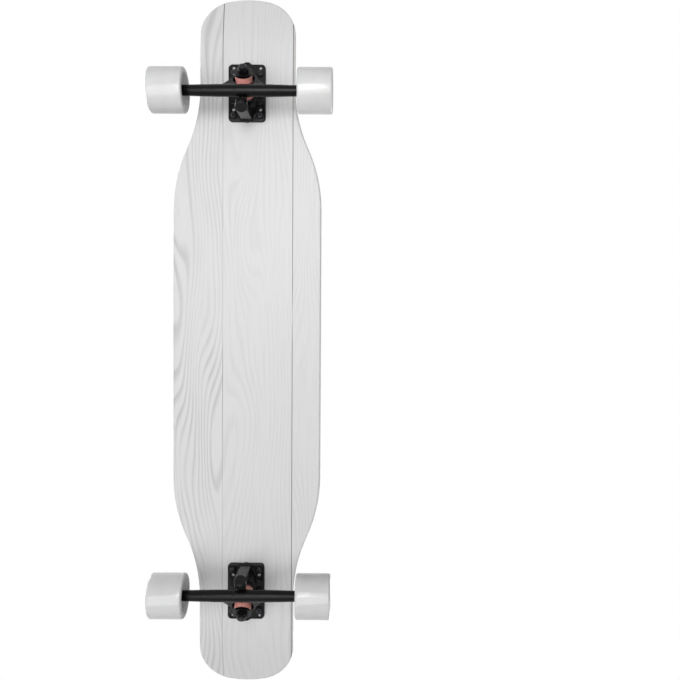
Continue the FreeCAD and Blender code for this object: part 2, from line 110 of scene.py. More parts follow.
def lathe(points, steps):
    # points are (radius, height, rounding) in millimetres, joined to a loop and spun round Z
    bm = bmesh.new()
    ring = [bm.verts.new((r * mm, 0, h * mm)) for r, h, rounding in points]
    for pair in zip(ring, ring[1:] + ring[:1]):
        bm.edges.new(pair)
    bmesh.ops.spin(bm, geom=bm.verts[:] + bm.edges[:], cent=(0, 0, 0), axis=(0, 0, 1), dvec=(0, 0, 0),
                   angle=2 * math.pi, steps=steps, use_merge=True)
    bmesh.ops.remove_doubles(bm, verts=bm.verts[:], dist=latheSet["merge"] * mm)
    bmesh.ops.recalc_face_normals(bm, faces=bm.faces[:])
    touch = latheSet["touch"] * mm
    few, more = latheSet["segments"]
    for r, h, rounding in points:
        if not rounding:
            continue
        near = {v for v in bm.verts
                if abs(v.co.xy.length - r * mm) < touch and abs(v.co.z - h * mm) < touch}
        edges = [e for e in bm.edges if e.verts[0] in near and e.verts[1] in near]
        bmesh.ops.bevel(bm, geom=edges, offset=rounding * mm, offset_type="OFFSET",
                        segments=few if rounding < latheSet["small"] else more, profile=0.5,
                        affect="EDGES", material=-1)
    return bm


def join(target, part, matrix=Matrix()):
    # copies a bmesh into another one at a place
    mesh = bpy.data.meshes.new("joined")
    part.to_mesh(mesh)
    mesh.transform(matrix)
    target.from_mesh(mesh)
    bpy.data.meshes.remove(mesh)


def makePiece(name, bm, materials, body, replaced=(), sharp=32):
    mesh = bpy.data.meshes.new(name)
    bm.to_mesh(mesh)
    bm.free()
    for material in materials:
        mesh.materials.append(material)
    mesh.polygons.foreach_set("use_smooth", [True] * len(mesh.polygons))
    mesh.set_sharp_from_angle(angle=math.radians(sharp))
    piece = bpy.data.objects.new(name, mesh)
    scene.collection.objects.link(piece)
    if body:
        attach(piece, body)
    if replaced:
        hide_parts(*replaced)
    return piece


weld = 0.002   # corners of a copied node that lie nearer than this, in millimetres, are one


def copyNode(name):
    # a CAD node's mesh as a merged bmesh
    bm = bmesh.new()
    bm.from_mesh(nodes[name].data)
    bmesh.ops.remove_doubles(bm, verts=bm.verts[:], dist=weld * mm)
    return bm


def dress(name, material):
    slots = nodes[name].data.materials
    slots.clear()
    slots.append(material)


# places in a truck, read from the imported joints

def kingpinFrame(end):
    # origin in the hanger's ring, Z along the kingpin towards its nut, Y up the steering axis
    joint = joints[end + "_steer"]
    up = Vector(joint["axis"])
    along = Vector((0, math.copysign(up.z, up.y), -abs(up.y)))
    across = up.cross(along)
    turn = Matrix((across, up, along)).transposed().to_4x4()
    return Matrix.Translation(joint["pos_m"]) @ turn


def axleFrame(end, side):
    # origin in the middle of the axle, Z outwards
    place = Matrix.Translation(joints[end + "_" + side + "_spin"]["pos_m"])
    return place @ Matrix.Rotation(math.radians(90 if side == "left" else -90), 4, "Y")


# materials

noiseSpan = (0.3, 0.7)     # nearly all of a noise's values lie between these
noiseCore = (0.35, 0.65)   # most of them lie between these

printSet = {
    "length": 1067.0, "joints": (-37.6, 70.2), "jointWidth": 0.55, "jointEdge": (0.6, 1.6),
    "lineSpacing": 8.4, "lineFall": 0.5, "lineOnset": 0.82, "strength": (0.8, 0.24),
    "bend": 15.0, "bendWidth": 62.0, "bendLength": 300.0, "plankShift": 5.3,
    "patchScale": 1.3, "patchRange": (0.36, 0.6), "patchLeast": 0.15,
    "fibreWidth": 1.5, "fibreLength": 80.0, "fibreRange": (0.45, 0.75), "fibreMost": 0.22,
    "light": "#E4E4E4", "grain": "#C6C6C7", "line": "#6A6A6C",
    # how dark each joint is, from nose to tail
    "wear": ([(0.0, "#FFFFFF"), (0.1, "#E8E8E8"), (0.22, "#909090"), (0.48, "#808080"),
              (0.54, "#CCCCCC"), (0.62, "#BBBBBB"), (0.72, "#808080"), (1.0, "#B0B0B0")],
             [(0.0, "#FFFFFF"), (0.42, "#F0F0F0"), (0.46, "#909090"), (0.5, "#F0F0F0"),
              (1.0, "#FFFFFF")]),
}


def whitewashPrint():
    # whitewashed planks printed on veneer under thin varnish: near white, with soft grey growth lines
    # and a low sheen
    spec = printSet
    material, tree, shader, place = newMaterial("whitewashedVeneer", {
        "Roughness": 0.36, "Specular IOR Level": 0.3})
    xyz = add(tree, "SeparateXYZ", {"Vector": place})
    left, right = spec["joints"]
    pastLeft = add(tree, "Math", {0: xyz.outputs["X"], 1: left * mm}, operation="GREATER_THAN")
    pastRight = add(tree, "Math", {0: xyz.outputs["X"], 1: right * mm}, operation="GREATER_THAN")
    plank = add(tree, "Math", {0: pastLeft.outputs[0], 1: pastRight.outputs[0]}, operation="ADD")
    # growth lines run along the planks and bend where a slow noise pushes them, differently on each plank
    bendX = add(tree, "Math", {0: xyz.outputs["X"], 1: 1000 / spec["bendWidth"]}, operation="MULTIPLY")
    bendY = add(tree, "Math", {0: xyz.outputs["Y"], 1: 1000 / spec["bendLength"]}, operation="MULTIPLY")
    bendZ = add(tree, "Math", {0: plank.outputs[0], 1: spec["plankShift"]}, operation="MULTIPLY")
    bendPlace = add(tree, "CombineXYZ", {"X": bendX.outputs[0], "Y": bendY.outputs[0],
                                         "Z": bendZ.outputs[0]})
    field = add(tree, "TexNoise", {"Vector": bendPlace.outputs[0], "Scale": 1.0, "Detail": 1.0,
                                   "Roughness": 0.3})
    bend = add(tree, "Math", {0: field.outputs["Fac"], 1: spec["bend"]}, operation="MULTIPLY")
    straight = add(tree, "Math", {0: xyz.outputs["X"], 1: 1000 / spec["lineSpacing"]},
                   operation="MULTIPLY")
    count = add(tree, "Math", {0: bend.outputs[0], 1: straight.outputs[0]}, operation="ADD")
    ring = add(tree, "Math", {0: count.outputs[0]}, operation="FRACT")
    fall = add(tree, "MapRange", {"Value": ring.outputs[0], "From Min": 0.0, "From Max": spec["lineFall"],
                                  "To Min": 1.0, "To Max": 0.0}, interpolation_type="SMOOTHSTEP")
    onset = add(tree, "MapRange", {"Value": ring.outputs[0], "From Min": spec["lineOnset"], "From Max": 1.0,
                                   "To Min": 0.0, "To Max": 1.0}, interpolation_type="SMOOTHSTEP")
    rings = add(tree, "Math", {0: fall.outputs[0], 1: onset.outputs[0]}, operation="MAXIMUM")
    # the lines are clearest on the first plank, and all of them fade in patches
    firstStrength, otherStrength = spec["strength"]
    strength = add(tree, "MapRange", {"Value": pastLeft.outputs[0], "To Min": firstStrength,
                                      "To Max": otherStrength})
    patch = add(tree, "TexNoise", {"Vector": bendPlace.outputs[0], "Scale": spec["patchScale"],
                                   "Detail": 2.0})
    faint, full = spec["patchRange"]
    clear = add(tree, "MapRange", {"Value": patch.outputs["Fac"], "From Min": faint, "From Max": full,
                                   "To Min": spec["patchLeast"], "To Max": 1.0})
    shown = add(tree, "Math", {0: strength.outputs[0], 1: clear.outputs[0]}, operation="MULTIPLY")
    grain = add(tree, "Math", {0: rings.outputs[0], 1: shown.outputs[0]}, operation="MULTIPLY")
    # fine fibres along the planks
    stretch = add(tree, "Mapping", {"Vector": place, "Scale": (1000 / spec["fibreWidth"],
                                                               1000 / spec["fibreLength"], 1.0)})
    fibre = add(tree, "TexNoise", {"Vector": stretch.outputs[0], "Scale": 1.0, "Detail": 3.0,
                                   "Roughness": 0.6})
    thin, thick = spec["fibreRange"]
    fine = add(tree, "MapRange", {"Value": fibre.outputs["Fac"], "From Min": thin, "From Max": thick,
                                  "To Min": 0.0, "To Max": spec["fibreMost"]})
    both = add(tree, "Math", {0: grain.outputs[0], 1: fine.outputs[0]}, operation="ADD", use_clamp=True)
    wood = add(tree, "Mix", {"Factor": both.outputs[0], "A": linear(spec["light"]),
                             "B": linear(spec["grain"])}, data_type="RGBA")
    # dark joints between the planks, here and there rubbed pale
    color = wood.outputs["Result"]
    tip = spec["length"] / 2 * mm
    share = add(tree, "MapRange", {"Value": xyz.outputs["Y"], "From Min": -tip, "From Max": tip})
    solid, gone = [edge * spec["jointWidth"] * mm for edge in spec["jointEdge"]]
    for joint, stops in zip(spec["joints"], spec["wear"]):
        weight = rampColors(add(tree, "ValToRGB", {"Fac": share.outputs[0]}), stops)
        away = add(tree, "Math", {0: xyz.outputs["X"], 1: joint * mm}, operation="SUBTRACT")
        gap = add(tree, "Math", {0: away.outputs[0]}, operation="ABSOLUTE")
        line = add(tree, "MapRange", {"Value": gap.outputs[0], "From Min": solid, "From Max": gone,
                                      "To Min": 1.0, "To Max": 0.0}, interpolation_type="SMOOTHSTEP")
        mark = add(tree, "Math", {0: line.outputs[0], 1: weight}, operation="MULTIPLY")
        drawn = add(tree, "Mix", {"Factor": mark.outputs[0], "A": color, "B": linear(spec["line"])},
                    data_type="RGBA")
        color = drawn.outputs["Result"]
    tree.links.new(color, shader.inputs["Base Color"])
    bump = add(tree, "Bump", {"Height": fibre.outputs["Fac"], "Strength": 0.05, "Distance": 0.2 * mm})
    tree.links.new(bump.outputs[0], shader.inputs["Normal"])
    return material


plySet = {"plies": 7, "thickness": 11.5, "grainLength": 40.0, "grainWidth": 0.7, "glueShare": 0.12,
          "glueStrength": 0.8, "light": "#D9B683", "dark": "#B98E58", "glue": "#8E6637"}


def mapleEdge():
    # sawn and sanded maple plies with dark glue lines between them, varnished
    spec = plySet
    material, tree, shader, place = newMaterial("mapleEdge", {
        "Roughness": 0.45, "Coat Weight": 0.15, "Coat Roughness": 0.2})
    height = add(tree, "Attribute", attribute_name="plyHeight", attribute_type="GEOMETRY")
    ply = add(tree, "Math", {0: height.outputs["Fac"], 1: spec["plies"] / spec["thickness"]},
              operation="MULTIPLY")
    layer = add(tree, "Math", {0: ply.outputs[0]}, operation="FLOOR")
    inLayer = add(tree, "Math", {0: ply.outputs[0]}, operation="FRACT")
    tone = add(tree, "TexWhiteNoise", {"W": layer.outputs[0]}, noise_dimensions="1D")
    flat = 1000 / spec["grainLength"]
    stretch = add(tree, "Mapping", {"Vector": place, "Scale": (flat, flat, 1000 / spec["grainWidth"])})
    fibre = add(tree, "TexNoise", {"Vector": stretch.outputs[0], "Scale": 1.0, "Detail": 4.0})
    shade = add(tree, "Math", {0: tone.outputs["Value"], 1: fibre.outputs["Fac"]}, operation="MULTIPLY")
    wood = add(tree, "Mix", {"Factor": shade.outputs[0], "A": linear(spec["light"]),
                             "B": linear(spec["dark"])}, data_type="RGBA")
    glue = add(tree, "MapRange", {"Value": inLayer.outputs[0], "From Min": 0.0,
                                  "From Max": spec["glueShare"], "To Min": spec["glueStrength"],
                                  "To Max": 0.0})
    color = add(tree, "Mix", {"Factor": glue.outputs[0], "A": wood.outputs["Result"],
                              "B": linear(spec["glue"])}, data_type="RGBA")
    tree.links.new(color.outputs["Result"], shader.inputs["Base Color"])
    bump = add(tree, "Bump", {"Height": fibre.outputs["Fac"], "Strength": 0.15, "Distance": 0.3 * mm})
    tree.links.new(bump.outputs[0], shader.inputs["Normal"])
    return material


veneerSet = {"grainWidth": 4.545, "grainLength": 83.33, "dark": "#C79C62", "light": "#DDBB87"}


def mapleVeneer():
    # rotary-cut maple on the upper face, which shows as a thin rim round the grip tape
    spec = veneerSet
    material, tree, shader, place = newMaterial("mapleVeneer", {
        "Roughness": 0.42, "Coat Weight": 0.2, "Coat Roughness": 0.15})
    flat = 1000 / spec["grainLength"]
    stretch = add(tree, "Mapping", {"Vector": place, "Scale": (1000 / spec["grainWidth"], flat, flat)})
    grain = add(tree, "TexNoise", {"Vector": stretch.outputs[0], "Scale": 1.0, "Detail": 5.0})
    color = rampColors(add(tree, "ValToRGB", {"Fac": grain.outputs["Fac"]}),
                       zip(noiseSpan, (spec["dark"], spec["light"])))
    tree.links.new(color, shader.inputs["Base Color"])
    bump = add(tree, "Bump", {"Height": grain.outputs["Fac"], "Strength": 0.1, "Distance": 0.2 * mm})
    tree.links.new(bump.outputs[0], shader.inputs["Normal"])
    return material


gripSet = {"grit": 1.3, "fleck": 2.4, "rare": 0.86, "fleckEdge": (0.12, 0.3), "rough": (0.72, 0.25),
           "dark": "#111112", "pale": "#232324", "paintedGlint": "#A9A9AC"}


def gripGrit():
    # silicon carbide grit in black resin: rough and dark, with rare pale flecks that are painted glints,
    # made smoother there so they also catch real highlights
    # real grit is 0.2 mm, drawn at about a millimetre so that it shows
    spec = gripSet
    material, tree, shader, place = newMaterial("siliconCarbideGrit", {"Specular IOR Level": 0.3})
    grit = add(tree, "TexVoronoi", {"Vector": place, "Scale": 1000 / spec["grit"]})
    tone = add(tree, "SeparateColor", {"Color": grit.outputs["Color"]})
    base = add(tree, "Mix", {"Factor": tone.outputs["Red"], "A": linear(spec["dark"]),
                             "B": linear(spec["pale"])}, data_type="RGBA")
    fleck = add(tree, "TexVoronoi", {"Vector": place, "Scale": 1000 / spec["fleck"]})
    pick = add(tree, "SeparateColor", {"Color": fleck.outputs["Color"]})
    rare = add(tree, "MapRange", {"Value": pick.outputs["Green"], "From Min": spec["rare"],
                                  "From Max": 1.0})
    inside, outside = spec["fleckEdge"]
    middle = add(tree, "MapRange", {"Value": fleck.outputs["Distance"], "From Min": inside,
                                    "From Max": outside, "To Min": 1.0, "To Max": 0.0})
    glint = add(tree, "Math", {0: rare.outputs[0], 1: middle.outputs[0]}, operation="MULTIPLY")
    # the pale flecks are painted glints in the base colour
    color = add(tree, "Mix", {"Factor": glint.outputs[0], "A": base.outputs["Result"],
                              "B": linear(spec["paintedGlint"])}, data_type="RGBA")
    tree.links.new(color.outputs["Result"], shader.inputs["Base Color"])
    dull, bright = spec["rough"]
    rough = add(tree, "MapRange", {"Value": glint.outputs[0], "To Min": dull, "To Max": bright})
    tree.links.new(rough.outputs[0], shader.inputs["Roughness"])
    bump = add(tree, "Bump", {"Height": grit.outputs["Distance"], "Strength": 0.5, "Distance": 0.3 * mm})
    tree.links.new(bump.outputs[0], shader.inputs["Normal"])
    return material


coatSet = {"peel": 0.9, "cloud": 14.0, "rough": (0.18, 0.28), "corner": (0.56, 0.7), "edgeWearAndPaintedHighlight": "#343436"}


def blackCoat(name, base, sheen):
    # electrophoretic black on sand-cast aluminium: satin, a little uneven, and paler on the corners, partly
    # as wear of the thin coat there and partly as a painted edge highlight
    spec = coatSet
    material, tree, shader, place = newMaterial(name, {"Specular IOR Level": sheen})
    cloud = add(tree, "TexNoise", {"Vector": place, "Scale": 1000 / spec["cloud"], "Detail": 3.0})
    smooth, dull = spec["rough"]
    rough = add(tree, "MapRange", {"Value": cloud.outputs["Fac"], "From Min": noiseSpan[0],
                                   "From Max": noiseSpan[1], "To Min": smooth, "To Max": dull})
    tree.links.new(rough.outputs[0], shader.inputs["Roughness"])
    # paler corners, patched by a slow noise: partly coat wear, partly a painted edge highlight
    point = add(tree, "NewGeometry")
    blunt, keen = spec["corner"]
    corner = add(tree, "MapRange", {"Value": point.outputs["Pointiness"], "From Min": blunt,
                                    "From Max": keen})
    patch = add(tree, "Math", {0: corner.outputs[0], 1: cloud.outputs["Fac"]}, operation="MULTIPLY")
    color = add(tree, "Mix", {"Factor": patch.outputs[0], "A": linear(base), "B": linear(spec["edgeWearAndPaintedHighlight"])},
                data_type="RGBA")
    tree.links.new(color.outputs["Result"], shader.inputs["Base Color"])
    peel = add(tree, "TexNoise", {"Vector": place, "Scale": 1000 / spec["peel"], "Detail": 2.0})
    bump = add(tree, "Bump", {"Height": peel.outputs["Fac"], "Strength": 0.12, "Distance": 0.1 * mm})
    tree.links.new(bump.outputs[0], shader.inputs["Normal"])
    return material


def plainMetal(name, light, dark, low, high, spot):
    # plated or oxidised steel: metallic, its roughness clouded by handling
    material, tree, shader, place = newMaterial(name, {"Metallic": 1.0})
    cloud = add(tree, "TexNoise", {"Vector": place, "Scale": 1000 / spot, "Detail": 4.0, "Roughness": 0.6})
    color = rampColors(add(tree, "ValToRGB", {"Fac": cloud.outputs["Fac"]}), zip(noiseCore, (dark, light)))
    tree.links.new(color, shader.inputs["Base Color"])
    rough = add(tree, "MapRange", {"Value": cloud.outputs["Fac"], "From Min": noiseSpan[0],
                                   "From Max": noiseSpan[1], "To Min": low, "To Max": high})
    tree.links.new(rough.outputs[0], shader.inputs["Roughness"])
    return material


urethaneSet = {"cloud": 16.667, "skin": 1.4286}


def castUrethane(name, light, dark, rough, coat, scatter, radius):
    # cast polyurethane: light goes a little way in, and the skin is smooth from the mould
    spec = urethaneSet
    material, tree, shader, place = newMaterial(name, {
        "Roughness": rough, "IOR": 1.5, "Coat Weight": coat, "Coat Roughness": 0.06,
        "Subsurface Weight": scatter, "Subsurface Radius": (1.0, 0.6, 0.5),
        "Subsurface Scale": radius * mm})
    cloud = add(tree, "TexNoise", {"Vector": place, "Scale": 1000 / spec["cloud"], "Detail": 3.0})
    color = rampColors(add(tree, "ValToRGB", {"Fac": cloud.outputs["Fac"]}), zip(noiseSpan, (dark, light)))
    tree.links.new(color, shader.inputs["Base Color"])
    skin = add(tree, "TexNoise", {"Vector": place, "Scale": 1000 / spec["skin"], "Detail": 2.0})
    bump = add(tree, "Bump", {"Height": skin.outputs["Fac"], "Strength": 0.04, "Distance": 0.1 * mm})
    tree.links.new(bump.outputs[0], shader.inputs["Normal"])
    return material


nylonSet = {"mottle": 5.5556}


def nylon(name, light, dark):
    # injection-moulded nylon: faintly mottled, with a soft sheen
    material, tree, shader, place = newMaterial(name, {"Roughness": 0.4, "IOR": 1.53})
    cloud = add(tree, "TexNoise", {"Vector": place, "Scale": 1000 / nylonSet["mottle"], "Detail": 3.0})
    color = rampColors(add(tree, "ValToRGB", {"Fac": cloud.outputs["Fac"]}), zip(noiseCore, (dark, light)))
    tree.links.new(color, shader.inputs["Base Color"])
    return material


veneerPrint = whitewashPrint()
plyEdge = mapleEdge()
topVeneer = mapleVeneer()
gripSurface = gripGrit()
hangerCoat = blackCoat("blackCoatedHanger", "#080809", 0.14)
# the baseplate's base colour is lighter than the hanger's same black coat, as a painted reflection of the
# light its flat faces catch
plateCoatPaintedReflection = blackCoat("blackBaseplatePaintedReflection", "#1B1B1C", 0.12)
zincPlate = plainMetal("zincPlatedSteel", "#C9CACC", "#A9ABAE", 0.22, 0.42, 3.0)
blackOxide = plainMetal("blackOxideSteel", "#2B2B2D", "#1A1A1C", 0.3, 0.5, 3.0)
groundSteel = plainMetal("groundBearingSteel", "#C6C7C9", "#B2B3B6", 0.14, 0.26, 2.0)
shieldSteel = plainMetal("pressedShieldSteel", "#8F9194", "#7C7E82", 0.3, 0.45, 2.0)
whiteUrethane = castUrethane("whiteUrethane", "#E2E2E2", "#DDDDDD", 0.09, 0.0, 0.1, 3.0)
coralUrethane = castUrethane("coralUrethane", "#FFB3A9", "#F9A79D", 0.4, 0.1, 0.2, 2.0)
coreNylon = nylon("whiteNylon", "#DCDCDA", "#CFCFCD")
ringNylon = nylon("greyNylon", "#5A5C60", "#4A4C50")
print("materials made:", len(bpy.data.materials))


# deck

deckSet = {"flat": 440.0, "bend": 250.0, "kick": 12.0, "printTilt": -0.03, "topTilt": 0.6}


def plyHeight(point):
    # millimetres over the deck's underside, measured square to the bent sheet
    out = abs(point.y) / mm - deckSet["flat"]
    up = point.z / mm - underside
    if out <= 0:
        return up
    kick = math.radians(deckSet["kick"])
    turn = math.atan2(out, deckSet["bend"] - up)
    if turn <= kick:
        return deckSet["bend"] - math.hypot(out, deckSet["bend"] - up)
    startOut = deckSet["bend"] * math.sin(kick)
    startUp = deckSet["bend"] * (1 - math.cos(kick))
    return (up - startUp) * math.cos(kick) - (out - startOut) * math.sin(kick)


def makeDeck():
    bm = copyNode("deck")
    height = bm.verts.layers.float.new("plyHeight")
    for vert in bm.verts:
        vert[height] = plyHeight(vert.co)
    bm.normal_update()
    for face in bm.faces:
        if face.normal.z < deckSet["printTilt"]:
            face.material_index = 0
        elif face.normal.z > deckSet["topTilt"]:
            face.material_index = 2
        else:
            face.material_index = 1
    deck = makePiece("deckBoard", bm, [veneerPrint, plyEdge, topVeneer], "board", ["deck"])
    flatten = deck.modifiers.new("flatFaces", "WEIGHTED_NORMAL")
    flatten.keep_sharp = True


makeDeck()
dress("grip_tape", gripSurface)
print("deck dressed")


# castings of the trucks

castSet = {"hanger": {"voxel": 1.0, "passes": 6, "coat": hangerCoat},
           "baseplate": {"voxel": 0.8, "passes": 4, "coat": plateCoatPaintedReflection},
           "flow": {"inner": 9.0, "outer": 52.0, "reach": 19.0, "passes": 16}}


def soften(bm, verts, passes):
    for step in range(passes):
        bmesh.ops.smooth_vert(bm, verts=verts, factor=0.5, use_axis_x=True, use_axis_y=True,
                              use_axis_z=True)


def makeCasting(end, kind, body):
    # the CAD solid with its corners softened as a sand casting's are
    name = end + "_" + kind
    spec = castSet[kind]
    piece = makePiece(end + kind.capitalize() + "Casting", copyNode(name), [spec["coat"]], None)
    remesh = piece.modifiers.new("cast", "REMESH")
    remesh.mode = "VOXEL"
    remesh.voxel_size = spec["voxel"] * mm
    depsgraph = bpy.context.evaluated_depsgraph_get()
    cast = bpy.data.meshes.new_from_object(piece.evaluated_get(depsgraph))
    piece.modifiers.clear()
    bm = bmesh.new()
    bm.from_mesh(cast)
    soften(bm, bm.verts[:], spec["passes"])
    if kind == "hanger":
        # the yoke's arms flow into the bar
        flow = castSet["flow"]
        axle = Vector(joints[end + "_left_spin"]["pos_m"])
        near = [v for v in bm.verts if flow["inner"] * mm < abs(v.co.x) < flow["outer"] * mm
                and (v.co - axle).yz.length < flow["reach"] * mm]
        soften(bm, near, flow["passes"])
    bm.to_mesh(cast)
    bm.free()
    cast.polygons.foreach_set("use_smooth", [True] * len(cast.polygons))
    piece.data = cast
    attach(piece, body)
    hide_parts(name)


for end in ends:
    makeCasting(end, "hanger", end + "_truck")
    makeCasting(end, "baseplate", "board")
print("castings softened")


# bushings, which shear between the kingpin's washers and the hanger's ring

bushingSet = {"radius": 12.7, "rim": 12.1, "hole": 6.0, "near": 2.5, "far": 19.5, "straight": 6.0,
              "rounding": 1.3, "holeRounding": 0.8, "longEdge": 2.0, "cuts": 3, "steps": 72}


def makeBushing(end, kind, side):
    # near and far are measured along the kingpin from the middle of the ring
    spec = bushingSet
    near, far = spec["near"], spec["far"]
    low = (near + far - spec["straight"]) / 2
    high = (near + far + spec["straight"]) / 2
    bm = lathe([(spec["hole"], near, spec["holeRounding"]), (spec["rim"], near, spec["rounding"]),
                (spec["radius"], low, 0), (spec["radius"], high, 0),
                (spec["rim"], far, spec["rounding"]), (spec["hole"], far, spec["holeRounding"])],
               spec["steps"])
    long = [e for e in bm.edges if abs(e.verts[0].co.z - e.verts[1].co.z) > spec["longEdge"] * mm]
    bmesh.ops.subdivide_edges(bm, edges=long, cuts=spec["cuts"], use_grid_fill=True)
    place = kingpinFrame(end)
    bm.transform(place if side > 0 else place @ Matrix.Rotation(math.pi, 4, "X"))
    bushing = makePiece(end + kind.capitalize() + "Bushing", bm, [coralUrethane], None,
                        [end + "_" + kind + "_bushing"])
    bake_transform(bushing)


for end in ends:
    makeBushing(end, "boardside", -1)
    makeBushing(end, "roadside", 1)
print("bushings made")


# lock nuts and threads

nutSets = {
    "deck": {"flats": 9.5, "height": 3.8, "collar": 2.2, "bore": 2.43},
    "kingpin": {"flats": 14.3, "height": 6.5, "collar": 3.0, "bore": 4.78},
    "axle": {"flats": 13.0, "height": 5.0, "collar": 2.5, "bore": 4.03},
}
nutShape = {"chamfer": 30.0, "blank": 0.05, "lead": 0.4, "face": 0.2, "rim": 0.1, "steps": 72,
            "cutMerge": 0.0001, "collarInset": 0.6, "collarRoot": 0.25, "crimp": 0.5,
            "crimpInset": 0.9, "crimpRounding": 0.3, "seat": 0.7}
ringShape = {"sink": 0.25, "depth": 1.4, "boreGap": 0.05, "mouthGap": 0.02, "rounding": 0.2, "steps": 48}


def lockNut(spec):
    # a chamfered hexagon with a crimped collar and its nylon ring; material 1 is the nylon
    shape = nutShape
    inside = spec["flats"] / 2
    wide = spec["flats"] / math.sqrt(3) + shape["blank"]   # the turned blank holds the hexagon's corners
    drop = (wide - inside) * math.tan(math.radians(shape["chamfer"]))
    height, bore = spec["height"], spec["bore"]
    top = height + spec["collar"]
    collar = inside - shape["collarInset"]
    mouth = collar - shape["crimpInset"]
    seat = top - shape["seat"]
    nut = lathe([(bore + shape["lead"], 0, 0), (inside - shape["face"], 0, 0),
                 (wide, drop + shape["rim"], 0), (wide, height - drop, 0),
                 (inside - shape["rim"], height, 0), (collar, height, shape["collarRoot"]),
                 (collar, top - shape["crimp"], shape["crimp"]), (mouth, top, shape["crimpRounding"]),
                 (mouth, seat, 0), (bore, seat, 0), (bore, shape["lead"], 0)], shape["steps"])
    for flat in range(6):
        turn = math.radians(60 * flat + 30)
        out = Vector((math.cos(turn), math.sin(turn), 0))
        cut = bmesh.ops.bisect_plane(nut, geom=nut.verts[:] + nut.edges[:] + nut.faces[:],
                                     dist=shape["cutMerge"] * mm, plane_co=out * inside * mm, plane_no=out,
                                     clear_outer=True)
        edges = [item for item in cut["geom_cut"] if isinstance(item, bmesh.types.BMEdge)]
        bmesh.ops.edgeloop_fill(nut, edges=edges)
    bmesh.ops.recalc_face_normals(nut, faces=nut.faces[:])
    inner, outer = bore + ringShape["boreGap"], mouth - ringShape["mouthGap"]
    low, high = top - ringShape["depth"], top - ringShape["sink"]
    nylonRing = lathe([(inner, low, 0), (outer, low, 0), (outer, high, ringShape["rounding"]),
                       (inner, high, ringShape["rounding"])], ringShape["steps"])
    for face in nylonRing.faces:
        face.material_index = 1
    join(nut, nylonRing)
    return nut


threadSet = {"pitch": 1.06, "depth": 0.35, "root": 0.06, "flank": 0.45, "steps": 20}


def thread(radius, start, end):
    # one helical ridge; its root lies inside the shank
    pitch, steps = threadSet["pitch"], threadSet["steps"]
    low = (radius - threadSet["root"]) * mm
    high = (radius + threadSet["depth"] * 0.5) * mm
    flank = threadSet["flank"] * pitch
    bm = bmesh.new()
    profile = [bm.verts.new((low, 0, (start - flank) * mm)), bm.verts.new((high, 0, start * mm)),
               bm.verts.new((low, 0, (start + flank) * mm))]
    first = bm.faces.new(profile)
    turns = int((end - start) / pitch)
    bmesh.ops.spin(bm, geom=[first], cent=(0, 0, 0), axis=(0, 0, 1), dvec=(0, 0, pitch / steps * mm),
                   angle=2 * math.pi * turns, steps=steps * turns)
    bmesh.ops.recalc_face_normals(bm, faces=bm.faces[:])
    return bm


boltSet = {"along": 63.5, "across": 41.3, "place": 381.0, "plate": 6.0, "radius": 2.4,
           "tip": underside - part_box("front_deck_bolts")[0].z / mm, "threadSink": 0.8, "tipClear": 1.2,
           "turnAlong": 23.0, "turnAcross": 41.0}
kingpinSet = {"nut": 21.5}   # from the middle of the hanger's ring
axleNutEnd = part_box("front_axle_nuts")[1].x / mm


def makeDeckFasteners(end):
    heading = 1 if end == "rear" else -1
    flip = Matrix.Rotation(math.pi, 4, "X")
    spec = nutSets["deck"]
    seat = Matrix.Translation((0, 0, boltSet["plate"] * mm))
    nutTop = boltSet["plate"] + spec["height"] + spec["collar"]
    deckNuts = bmesh.new()
    threads = bmesh.new()
    for along in (-1, 1):
        for across in (-1, 1):
            spot = Vector((across * boltSet["across"] / 2,
                           heading * boltSet["place"] + along * boltSet["along"] / 2, underside)) * mm
            under = Matrix.Translation(spot) @ flip
            turn = boltSet["turnAlong"] * along + boltSet["turnAcross"] * across   # no two nuts stand alike
            spin = Matrix.Rotation(math.radians(turn), 4, "Z")
            join(deckNuts, lockNut(spec), under @ seat @ spin)
            ridge = thread(boltSet["radius"], nutTop - boltSet["threadSink"],
                           boltSet["tip"] - boltSet["tipClear"])
            join(threads, ridge, under)
    makePiece(end + "DeckNuts", deckNuts, [blackOxide, ringNylon], "board",
              [end + "_deck_nuts"])
    makePiece(end + "BoltThreads", threads, [blackOxide], "board", sharp=60)


def makeTruckNuts(end):
    kingpinNut = bmesh.new()
    join(kingpinNut, lockNut(nutSets["kingpin"]),
         kingpinFrame(end) @ Matrix.Translation((0, 0, kingpinSet["nut"] * mm)))
    makePiece(end + "KingpinNut", kingpinNut, [blackOxide, ringNylon], "board",
              [end + "_kingpin_nut"])
    axleNuts = bmesh.new()
    spec = nutSets["axle"]
    start = axleNutEnd - spec["height"] - spec["collar"]
    for side in sides:
        join(axleNuts, lockNut(spec), axleFrame(end, side) @ Matrix.Translation((0, 0, start * mm)))
    makePiece(end + "AxleNuts", axleNuts, [zincPlate, ringNylon], end + "_truck",
              [end + "_axle_nuts"])


for end in ends:
    makeDeckFasteners(end)
    makeTruckNuts(end)
print("fasteners made")


# wheels

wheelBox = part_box("front_left_wheel")
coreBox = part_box("front_left_wheel_core")
wheelSet = {"radius": 32.5, "inner": wheelBox[0].x / mm, "outer": wheelBox[1].x / mm, "lip": 3.5,
            "innerDish": 25.0, "outerDish": 27.0, "dishRounding": 1.2, "core": 17.03,
            "coreStart": coreBox[0].x / mm, "coreEnd": coreBox[1].x / mm, "coreRounding": 0.3,
            "groove": 0.9, "grooveShift": 2.5, "grooveRounding": 0.2, "steps": 128}


